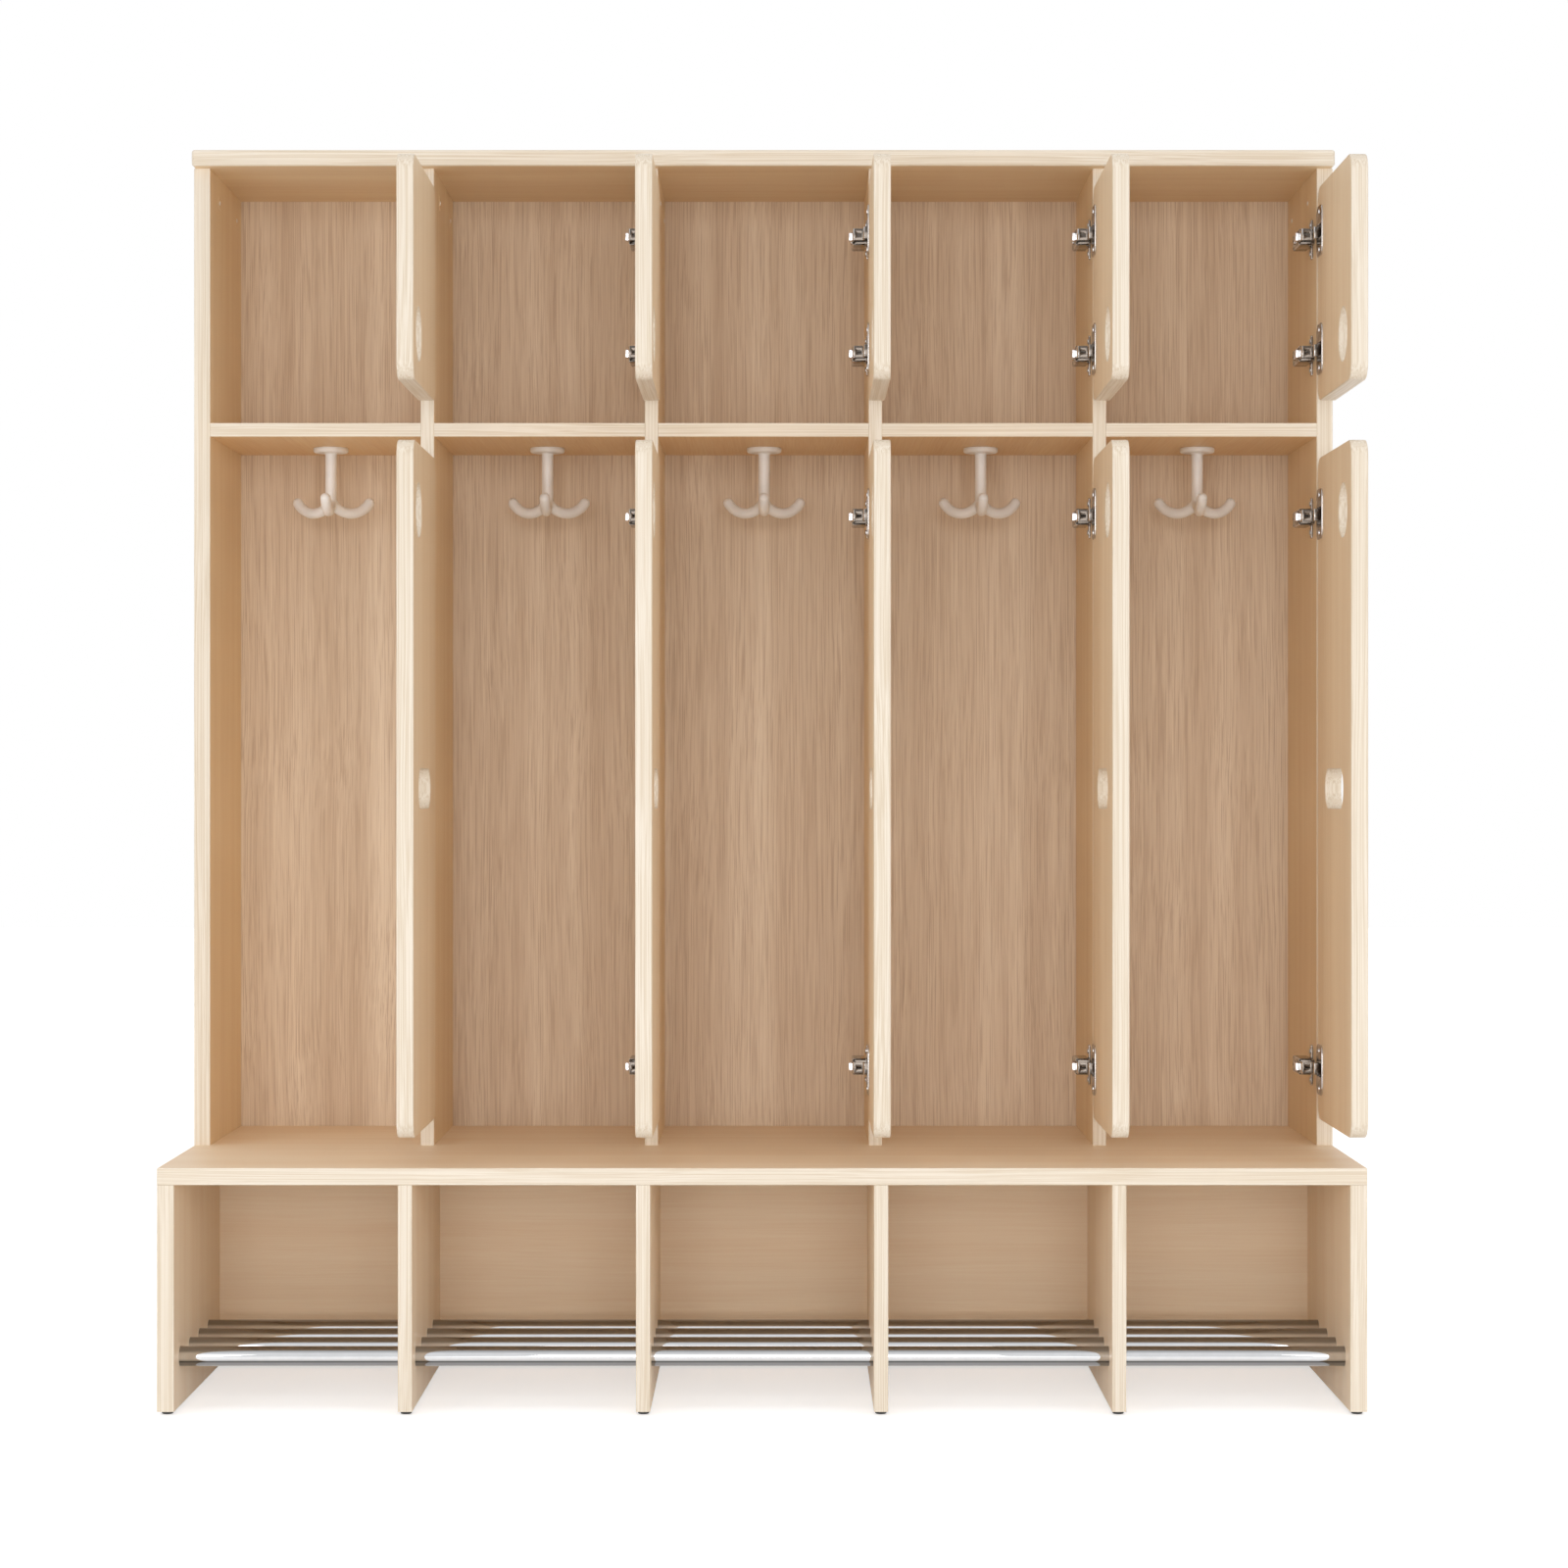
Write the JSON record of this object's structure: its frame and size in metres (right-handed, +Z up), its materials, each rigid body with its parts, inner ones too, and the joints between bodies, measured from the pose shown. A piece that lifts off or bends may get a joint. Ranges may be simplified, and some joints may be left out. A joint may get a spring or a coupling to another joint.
{
  "type": "cloakroom bench",
  "caption": "Children's cloakroom bench: lockers with a cubby, a coat space, ceiling hooks and doors on concealed hinges, standing on a deeper seat with shoe rails below.",
  "frame": {"origin": "on the floor under the middle of the bench's footprint", "axes": "+Z up, +X along the bench to the right seen from the front, +Y from front to back"},
  "size_m": [1.271, 0.4689, 1.368],
  "materials": {
    "maple_board": "pale maple melamine with fine straight grain and matching edge band, satin",
    "back_sheet": "thin maple fibreboard sheet with upright grain, satin",
    "dowel_wood": "bare beech",
    "hinge_nickel": "bright nickel plate on pressed steel",
    "fastener_steel": "zinc plated",
    "rail_chrome": "polished chrome plated steel tube",
    "hook_plastic": "smooth off-white moulded plastic",
    "glide_plastic": "black moulded plastic"
  },
  "bodies": {
    "carcass": {"cabinet_side_left": "maple_board", "bench_side_left": "maple_board", "cabinet_side_right": "maple_board", "bench_side_right": "maple_board", "cabinet_divider_1": "maple_board", "bench_divider_1": "maple_board", "cabinet_divider_2": "maple_board", "bench_divider_2": "maple_board", "cabinet_divider_3": "maple_board", "bench_divider_3": "maple_board", "cabinet_divider_4": "maple_board", "bench_divider_4": "maple_board", "top_board": "maple_board", "bench_seat": "maple_board", "bench_back_panels": "maple_board", "cabinet_back_panel": "back_sheet", "cabinet_shelf_1": "maple_board", "coat_hook_1": "hook_plastic", "cabinet_shelf_2": "maple_board", "coat_hook_2": "hook_plastic", "cabinet_shelf_3": "maple_board", "coat_hook_3": "hook_plastic", "cabinet_shelf_4": "maple_board", "coat_hook_4": "hook_plastic", "cabinet_shelf_5": "maple_board", "coat_hook_5": "hook_plastic", "shoe_rail_1": "rail_chrome", "shoe_rail_2": "rail_chrome", "shoe_rail_3": "rail_chrome", "shoe_rail_4": "rail_chrome", "hinge_plates": "hinge_nickel", "hinge_arms": "hinge_nickel", "hinge_pins": "fastener_steel", "hinge_plate_screws": "fastener_steel", "cam_locks": "fastener_steel", "cam_bolts": "fastener_steel", "hook_studs": "fastener_steel", "dowels": "dowel_wood", "floor_glides": "glide_plastic"},
    "upper_door_body_1": {"upper_door_1": "maple_board", "upper_hinge_cups_1": "hinge_nickel"},
    "upper_door_body_2": {"upper_door_2": "maple_board", "upper_hinge_cups_2": "hinge_nickel"},
    "upper_door_body_3": {"upper_door_3": "maple_board", "upper_hinge_cups_3": "hinge_nickel"},
    "upper_door_body_4": {"upper_door_4": "maple_board", "upper_hinge_cups_4": "hinge_nickel"},
    "upper_door_body_5": {"upper_door_5": "maple_board", "upper_hinge_cups_5": "hinge_nickel"},
    "tall_door_body_1": {"tall_door_1": "maple_board", "tall_hinge_cups_1": "hinge_nickel"},
    "tall_door_body_2": {"tall_door_2": "maple_board", "tall_hinge_cups_2": "hinge_nickel"},
    "tall_door_body_3": {"tall_door_3": "maple_board", "tall_hinge_cups_3": "hinge_nickel"},
    "tall_door_body_4": {"tall_door_4": "maple_board", "tall_hinge_cups_4": "hinge_nickel"},
    "tall_door_body_5": {"tall_door_5": "maple_board", "tall_hinge_cups_5": "hinge_nickel"}
  },
  "joints": [
    {"name": "upper_door_hinge_1", "type": "hinge", "parent": "carcass", "child": "upper_door_body_1", "pos_m": [-0.37305, -0.0185, 1.2072], "axis": [0, 0, 1], "range_deg": [-90, 10]},
    {"name": "upper_door_hinge_2", "type": "hinge", "parent": "carcass", "child": "upper_door_body_2", "pos_m": [-0.12305, -0.0185, 1.2072], "axis": [0, 0, 1], "range_deg": [-90, 10]},
    {"name": "upper_door_hinge_3", "type": "hinge", "parent": "carcass", "child": "upper_door_body_3", "pos_m": [0.12695, -0.0185, 1.2072], "axis": [0, 0, 1], "range_deg": [-90, 10]},
    {"name": "upper_door_hinge_4", "type": "hinge", "parent": "carcass", "child": "upper_door_body_4", "pos_m": [0.37695, -0.0185, 1.2072], "axis": [0, 0, 1], "range_deg": [-90, 10]},
    {"name": "upper_door_hinge_5", "type": "hinge", "parent": "carcass", "child": "upper_door_body_5", "pos_m": [0.62695, -0.0185, 1.2072], "axis": [0, 0, 1], "range_deg": [-90, 10]},
    {"name": "tall_door_hinge_1", "type": "hinge", "parent": "carcass", "child": "tall_door_body_1", "pos_m": [-0.37305, -0.0185, 0.6582], "axis": [0, 0, 1], "range_deg": [-90, 10]},
    {"name": "tall_door_hinge_2", "type": "hinge", "parent": "carcass", "child": "tall_door_body_2", "pos_m": [-0.12305, -0.0185, 0.6582], "axis": [0, 0, 1], "range_deg": [-90, 10]},
    {"name": "tall_door_hinge_3", "type": "hinge", "parent": "carcass", "child": "tall_door_body_3", "pos_m": [0.12695, -0.0185, 0.6582], "axis": [0, 0, 1], "range_deg": [-90, 10]},
    {"name": "tall_door_hinge_4", "type": "hinge", "parent": "carcass", "child": "tall_door_body_4", "pos_m": [0.37695, -0.0185, 0.6582], "axis": [0, 0, 1], "range_deg": [-90, 10]},
    {"name": "tall_door_hinge_5", "type": "hinge", "parent": "carcass", "child": "tall_door_body_5", "pos_m": [0.62695, -0.0185, 0.6582], "axis": [0, 0, 1], "range_deg": [-90, 10]}
  ]
}
